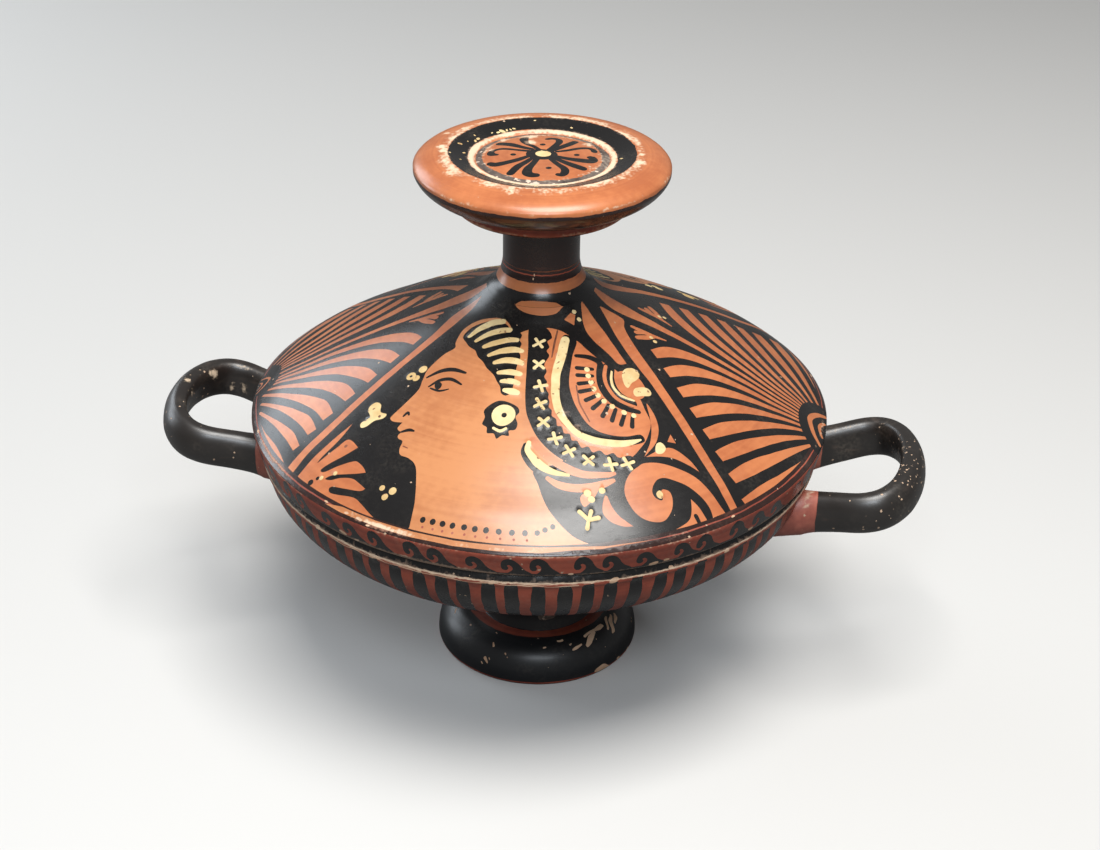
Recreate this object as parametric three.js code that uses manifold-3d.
// A lekanis: a lidded, two-handled dish on a pedestal foot, in fired clay.
// Millimetres, +Z up. The origin is the middle of the foot's resting ring, and the handles lie along X.
// Every round piece is a lathe profile of (radius, height) points about the Z axis.

import * as THREE from 'three';
import { mergeVertices } from 'three/addons/utils/BufferGeometryUtils.js';
import Module from 'manifold-3d';

const wasm = await Module();
wasm.setup();

// Facets round each piece, and steps along each curved stretch of a profile.
const BOWL_SIDES = 48;
const FOOT_SIDES = 36;
const KNOB_SIDES = 40;
const STEM_SIDES = 24;
const ROOT_SIDES = 12;
const WALL_STEPS = 8;
const DOME_STEPS = 12;
const CURVE_STEPS = 5;

// Clearances.
const slipJoint = 0.3;        // line of slip between two pieces that are luted together
const lidSeatGap = 0.3;       // lid's edge above the ledge that it rests on
const lidPlay = 2.4;          // lid's rim round the bowl's upright flange
const weldShare = 0.001;      // share of a slip joint within which two vertices are one

// Foot. Heights here and below are stacked: each is measured from the level under it.
const footRadius = 34.7;      // widest, just above the table
const footRestInset = 0.8;    // outer edge of the flat resting ring, inside the widest radius
const footRestWidth = 3.8;
const footBaseHeight = 2.0;   // upright edge below the curved flare
const flareWidth = 9.3;
const flareHeight = 11.2;
const filletWidth = 5.1;      // reserved ring on top of the flare
const filletDrop = 0.5;       // its slope in towards the stem
const footWaistInset = 1.1;   // narrowest radius of the stem, inside the reserved ring
const footStemPull = 2.7;     // how far the curve's middle point lies inside the narrowest radius
const footStemHeight = 17.5;
const footJointRadius = 25.5; // where foot and bowl meet
const footWall = 6.2;

// Bowl.
const lipRadius = 92.4;
const bowlRise = 48.7;        // from the foot's joint to the lip
const lipThickness = 1.3;
const lipUndercut = 1.3;      // the wall starts this far inside the lip
const bowlWall = 4.8;
const wallBellyRise = 31.0;   // pulls the wall out under the lip
const wallConeInset = 26.4;   // pulls the wall straight towards the foot
const wallConeRise = 21.5;
const ledgeRise = 4.4;        // from the lip to the ledge that the lid rests on
const ledgeInset = 1.8;
const flangeThickness = 3.8;
const flangeHeight = 7.1;     // above the ledge
const flangeRound = 1.0;

// Lid.
const lidOverhang = 2.6;      // the lid's shoulder stands out beyond the lip
const rimLean = 1.5;          // the rim band leans in towards its lower edge
const rimHeight = 7.0;
const rimWall = 4.6;
const rimRound = 0.5;
const shoulderRound = 0.9;
const domeWall = 4.6;
const domeSeatRadius = 17.5;  // where the knob's stem is luted on
const domeRise = 43.3;
const domeCrownThickness = 8.6;

// The dome from its seat to its shoulder: share of the way out, share of the rise.
const domeRiseShares = [
  [0.033, 0.952], [0.084, 0.890], [0.162, 0.826], [0.265, 0.752], [0.448, 0.604],
  [0.632, 0.436], [0.779, 0.286], [0.877, 0.187], [0.951, 0.091],
];

// Knob.
const stemRadius = 12.3;
const stemHeight = 27.6;
const stemFlareHeight = 11.0; // the root spreads over this height
const stemTopSpread = 1.6;
const stemTopFlare = 2.4;
const knobRadius = 40.4;
const knobHeight = 17.3;      // from the stem to the crest
const knobEdgeDrop = 4.0;     // the disc's edge below the crest
const knobEdgeRound = 1.7;
const crestInset = 10.6;      // middle of the narrow flat ring that the upturned lid stands on
const crestWidth = 1.2;
const dishSlopeWidth = 6.3;   // black ring that dips from the crest
const dishDepth = 1.9;
const knobBandWidth = 1.9;    // pale band inside the dish
const grooveWidth = 1.8;
const grooveDepth = 0.8;
const medallionRise = 1.3;
const mouldingInset = 12.2;   // ring moulding under the disc, inside its edge
const mouldingHeight = 3.0;
const mouldingRound = 0.8;
const undersidePull = 3.5;    // how far the disc's underside runs level before it turns up

// Handles.
const leftReach = 33.4;       // centre line of the loop at its outermost, beyond the lip
const leftHalfSpread = 23.5;
const leftSeatDrop = 7.4;     // centre line where the loop passes under the lip
const rightReach = 32.6;
const rightHalfSpread = 25.2;
const rightSeatDrop = 7.9;
const handleThickness = 8.0;  // across the strap
const handleHeight = 13.6;    // height of the strap's oval section
const handleTilt = 13;        // degrees, outer end up
const handleRootDepth = 15.0; // the ends run this far into the wall before they are cut to it
const rootPadLength = 16.0;   // clay pressed round each root
const rootPadWidth = 11.2;
const rootPadHeight = 15.0;
const rootPadRaise = 0.8;     // more of it is pressed on above than below
const SECTION_POINTS = 14;
const LOOP_STEPS = 26;

// Half the loop's centre line: share of the way from the lip to the reach, share of the half spread.
const loopShares = [[-0.05, 0.83], [0.2, 0.9], [0.54, 1.0], [0.72, 0.94], [0.87, 0.73], [0.97, 0.37]];

// Radii and levels that follow from the sizes above.
const filletOuterRadius = footRadius - flareWidth;
const filletInnerRadius = filletOuterRadius - filletWidth;
const footStemRadius = filletInnerRadius - footWaistInset;
const filletHeight = footBaseHeight + flareHeight;
const footHeight = filletHeight + footStemHeight;
const bowlFloor = footHeight + slipJoint;
const lipHeight = bowlFloor + bowlRise;
const ledgeHeight = lipHeight + ledgeRise;
const rimFoot = ledgeHeight + lidSeatGap;
const shoulderHeight = rimFoot + rimHeight;
const domeSeatHeight = shoulderHeight + domeRise;
const stemRoot = domeSeatHeight + slipJoint;
const knobBase = stemRoot + stemHeight + slipJoint;
const crestHeight = knobBase + knobHeight;
const lidRadius = lipRadius + lidOverhang;
const rimFootRadius = lidRadius - rimLean;
const flangeOuterRadius = rimFootRadius - rimWall - lidPlay;
const flangeInnerRadius = flangeOuterRadius - flangeThickness;
const flangeTop = ledgeHeight + flangeHeight;

// Colours of the fired surface.
const blackGloss = new THREE.MeshStandardMaterial({ color: 0x1c1a1b, roughness: 0.35, metalness: 0 });
const orangeClay = new THREE.MeshStandardMaterial({ color: 0xb9623c, roughness: 0.55, metalness: 0 });
const redClay = new THREE.MeshStandardMaterial({ color: 0x9c4a34, roughness: 0.6, metalness: 0 });

const v2 = (radius, height) => new THREE.Vector2(radius, height);

// Points of an upright ellipse's arc between two angles in degrees.
function arc(centreRadius, centreHeight, halfWidth, halfHeight, fromDeg, toDeg, steps) {
  const points = [];
  for (let i = 0; i <= steps; i++) {
    const angle = THREE.MathUtils.degToRad(fromDeg + (toDeg - fromDeg) * i / steps);
    points.push(v2(centreRadius + halfWidth * Math.cos(angle), centreHeight + halfHeight * Math.sin(angle)));
  }
  return points;
}

// A closed ring or an axis-to-axis profile, turned about Z.
function turned(profile, sides) {
  const geometry = new THREE.LatheGeometry(profile, sides);
  geometry.rotateX(Math.PI / 2);
  return geometry;
}

function solidOf(geometry) {
  const bare = geometry.clone();
  bare.deleteAttribute('normal');
  bare.deleteAttribute('uv');
  const merged = mergeVertices(bare, slipJoint * weldShare);
  const mesh = new wasm.Mesh({
    numProp: 3,
    vertProperties: Float32Array.from(merged.attributes.position.array),
    triVerts: Uint32Array.from(merged.index.array),
  });
  mesh.merge();
  return new wasm.Manifold(mesh);
}

function geometryOf(solid) {
  const mesh = solid.getMesh();
  const geometry = new THREE.BufferGeometry();
  geometry.setAttribute('position', new THREE.BufferAttribute(mesh.vertProperties, 3));
  geometry.setIndex(new THREE.BufferAttribute(mesh.triVerts, 1));
  geometry.computeVertexNormals();
  return geometry;
}

function named(name, geometry, material) {
  const mesh = new THREE.Mesh(geometry, material);
  mesh.name = name;
  return mesh;
}

// Foot: flat resting ring, curved flare, reserved ring, waisted stem, and the hollow beneath.
function footProfile() {
  const restOuter = footRadius - footRestInset;
  const restInner = restOuter - footRestWidth;
  const flare = arc(filletOuterRadius, footBaseHeight, flareWidth, flareHeight, 0, 90, CURVE_STEPS);
  const stemFoot = v2(filletInnerRadius, filletHeight - filletDrop);
  const stemWaist = v2(footStemRadius - footStemPull, (filletHeight + footHeight) / 2);
  const stemTop = v2(footJointRadius, footHeight);
  const stem = new THREE.QuadraticBezierCurve(stemFoot, stemWaist, stemTop).getPoints(CURVE_STEPS);
  const hollowRadius = footStemRadius - footWall;
  const crown = footHeight - footWall;
  const hollow = new THREE.QuadraticBezierCurve(
    v2(hollowRadius, filletHeight),
    v2(hollowRadius, crown),
    v2(0, crown),
  ).getPoints(CURVE_STEPS);
  return [
    v2(restInner, 0),
    v2(restOuter, 0),
    ...flare,
    ...stem,
    v2(0, footHeight),
    ...hollow.reverse(),
    v2(restInner - footWall / 2, footBaseHeight * 2),
    v2(restInner, 0),
  ];
}

// The bowl's wall, on its outside or moved in by a wall's thickness.
function wallCurve(inset) {
  const top = v2(lipRadius - lipUndercut - inset, lipHeight - lipUndercut);
  return new THREE.CubicBezierCurve(
    v2(footJointRadius - inset / 3, bowlFloor + inset * 4 / 3),
    v2(lipRadius - wallConeInset - inset * 2 / 3, bowlFloor + wallConeRise + inset),
    v2(top.x, bowlFloor + wallBellyRise + inset * 2 / 3),
    top,
  );
}

// Bowl: the wall's outer curve, lip, ledge and upright flange, then the inside.
function bowlProfile() {
  return [
    v2(0, bowlFloor),
    ...wallCurve(0).getPoints(WALL_STEPS),
    v2(lipRadius, lipHeight),
    v2(lipRadius, lipHeight + lipThickness),
    v2(lipRadius - ledgeInset, ledgeHeight),
    v2(flangeOuterRadius, ledgeHeight),
    v2(flangeOuterRadius, flangeTop - flangeRound),
    v2(flangeOuterRadius - flangeRound, flangeTop),
    v2(flangeInnerRadius + flangeRound, flangeTop),
    v2(flangeInnerRadius, flangeTop - flangeRound),
    v2(flangeInnerRadius, ledgeHeight),
    ...wallCurve(bowlWall).getPoints(WALL_STEPS).reverse(),
    v2(0, bowlFloor + bowlWall),
  ];
}

// The dome: a smooth curve through its points, on its outside or moved in by a wall's thickness.
function domeCurve(wall) {
  const seat = v2(domeSeatRadius, domeSeatHeight);
  const width = lidRadius - domeSeatRadius;
  const shoulder = v2(lidRadius - shoulderRound / 4, shoulderHeight + shoulderRound);
  const points = [seat];
  for (const [radiusShare, riseShare] of domeRiseShares) {
    points.push(v2(domeSeatRadius + radiusShare * width, shoulderHeight + riseShare * domeRise));
  }
  points.push(shoulder);
  if (wall === 0) {
    return new THREE.SplineCurve(points);
  }
  // The inside leaves out the flare at the seat.
  const outer = new THREE.SplineCurve(points);
  const inner = [];
  for (let i = 2; i < points.length; i++) {
    const share = i / (points.length - 1);
    const point = outer.getPoint(share);
    const tangent = outer.getTangent(share);
    inner.push(v2(point.x + tangent.y * wall, point.y - tangent.x * wall));
  }
  return new THREE.SplineCurve(inner);
}

// Lid: the dome, the rounded shoulder and the rim band, then the inside.
function lidProfile() {
  const innerRadius = rimFootRadius - rimWall;
  const inside = domeCurve(domeWall).getPoints(WALL_STEPS).filter((point) => point.x < innerRadius);
  return [
    v2(0, domeSeatHeight),
    ...domeCurve(0).getPoints(DOME_STEPS),
    v2(lidRadius, shoulderHeight),
    v2(rimFootRadius, rimFoot + rimRound),
    v2(rimFootRadius - rimRound, rimFoot),
    v2(innerRadius + rimRound, rimFoot),
    v2(innerRadius, rimFoot + rimRound),
    v2(innerRadius, shoulderHeight),
    ...inside.reverse(),
    v2(0, domeSeatHeight - domeCrownThickness),
  ].reverse();
}

// Knob's stem: its root spread on the dome, the plain shaft and the small flare under the disc.
function stemProfile() {
  const flare = new THREE.QuadraticBezierCurve(
    v2(domeSeatRadius, stemRoot),
    v2(stemRadius, stemRoot + stemFlareHeight / 3),
    v2(stemRadius, stemRoot + stemFlareHeight),
  ).getPoints(CURVE_STEPS);
  const top = stemRoot + stemHeight;
  return [
    v2(0, stemRoot),
    ...flare,
    v2(stemRadius, top - stemTopFlare),
    v2(stemRadius + stemTopSpread, top),
    v2(0, top),
  ];
}

// Knob's disc: moulding, curved underside, edge, crest, dipped ring, band, groove and medallion.
function discProfile() {
  const mouldingRadius = knobRadius - mouldingInset;
  const mouldingTop = knobBase + mouldingHeight;
  const edgeHeight = crestHeight - knobEdgeDrop;
  const underside = new THREE.QuadraticBezierCurve(
    v2(mouldingRadius, mouldingTop),
    v2(knobRadius - knobEdgeRound, mouldingTop + undersidePull),
    v2(knobRadius, edgeHeight - knobEdgeRound),
  ).getPoints(CURVE_STEPS);
  const crestRadius = knobRadius - crestInset;
  const crown = new THREE.QuadraticBezierCurve(
    v2(knobRadius, edgeHeight),
    v2(knobRadius - knobEdgeRound, crestHeight - knobEdgeRound / 2),
    v2(crestRadius + crestWidth / 2, crestHeight),
  ).getPoints(CURVE_STEPS);
  const dishRadius = crestRadius - dishSlopeWidth;
  const dishFloor = crestHeight - dishDepth;
  const bandInner = dishRadius - knobBandWidth;
  const medallionRadius = bandInner - grooveWidth;
  return [
    v2(0, knobBase),
    v2(mouldingRadius - mouldingRound, knobBase),
    v2(mouldingRadius, knobBase + mouldingRound),
    ...underside,
    ...crown,
    v2(crestRadius - crestWidth / 2, crestHeight),
    v2(dishRadius, dishFloor),
    v2(bandInner, dishFloor),
    v2(bandInner - grooveWidth / 4, dishFloor - grooveDepth),
    v2(medallionRadius, dishFloor - grooveDepth / 2),
    v2(medallionRadius / 2, dishFloor + medallionRise / 2),
    v2(0, dishFloor + medallionRise / 2),
  ];
}

// One handle: an oval strap swept round the loop, with clay pressed round its two roots, cut to the wall.
function handleSolid(side, reach, halfSpread, seatDrop) {
  const half = loopShares.map(([x, y]) => [x * reach, y * halfSpread]);
  const line = [
    [-handleRootDepth, half[0][1] - (half[1][1] - half[0][1]) / 2],
    ...half,
    [reach, 0],
  ];
  const back = line.slice(0, -1).reverse().map(([x, y]) => [x, -y]);
  const path = new THREE.CatmullRomCurve3(
    [...line, ...back].map(([x, y]) => new THREE.Vector3(x, y, 0)), false, 'centripetal');
  const section = new THREE.Shape();
  section.absellipse(0, 0, handleHeight / 2, handleThickness / 2, 0, Math.PI * 2, false, 0);
  const outline = new THREE.Shape(section.getSpacedPoints(SECTION_POINTS).slice(0, -1));
  const strap = new THREE.ExtrudeGeometry(outline, {
    steps: LOOP_STEPS,
    bevelEnabled: false,
    extrudePath: path,
  });
  const place = new THREE.Matrix4().makeRotationY(THREE.MathUtils.degToRad(-handleTilt));
  place.premultiply(new THREE.Matrix4().makeTranslation(lipRadius, 0, lipHeight - seatDrop));
  if (side < 0) {
    place.premultiply(new THREE.Matrix4().makeRotationZ(Math.PI));
  }
  strap.applyMatrix4(place);
  let solid = solidOf(strap);
  for (const end of [1, -1]) {
    const pad = new THREE.SphereGeometry(1, ROOT_SIDES, ROOT_SIDES / 2);
    pad.scale(rootPadLength / 2, rootPadWidth / 2, rootPadHeight / 2);
    pad.translate(half[0][0] - lipUndercut, end * half[0][1], rootPadRaise);
    pad.applyMatrix4(place);
    solid = solid.add(solidOf(pad));
  }
  const wall = new THREE.LatheGeometry([
    v2(0, 0),
    ...wallCurve(-slipJoint).getPoints(WALL_STEPS),
    v2(lipRadius + slipJoint, lipHeight - slipJoint),
    v2(lipRadius + slipJoint, flangeTop),
    v2(0, flangeTop),
  ], BOWL_SIDES);
  wall.rotateX(Math.PI / 2);
  return solid.subtract(solidOf(wall));
}

const lekanis = new THREE.Group();

const vessel = new THREE.Group();
vessel.add(named('foot', turned(footProfile(), FOOT_SIDES), blackGloss));
vessel.add(named('bowl', turned(bowlProfile(), BOWL_SIDES), redClay));
const leftLoop = handleSolid(-1, leftReach, leftHalfSpread, leftSeatDrop);
vessel.add(named('handle_left', geometryOf(leftLoop), blackGloss));
const rightLoop = handleSolid(1, rightReach, rightHalfSpread, rightSeatDrop);
vessel.add(named('handle_right', geometryOf(rightLoop), blackGloss));
lekanis.add(vessel);

const lid = new THREE.Group();
lid.add(named('lid_dome', turned(lidProfile(), BOWL_SIDES), orangeClay));
lid.add(named('knob_stem', turned(stemProfile(), STEM_SIDES), blackGloss));
lid.add(named('knob_disc', turned(discProfile(), KNOB_SIDES), orangeClay));
lekanis.add(lid);

export default lekanis;
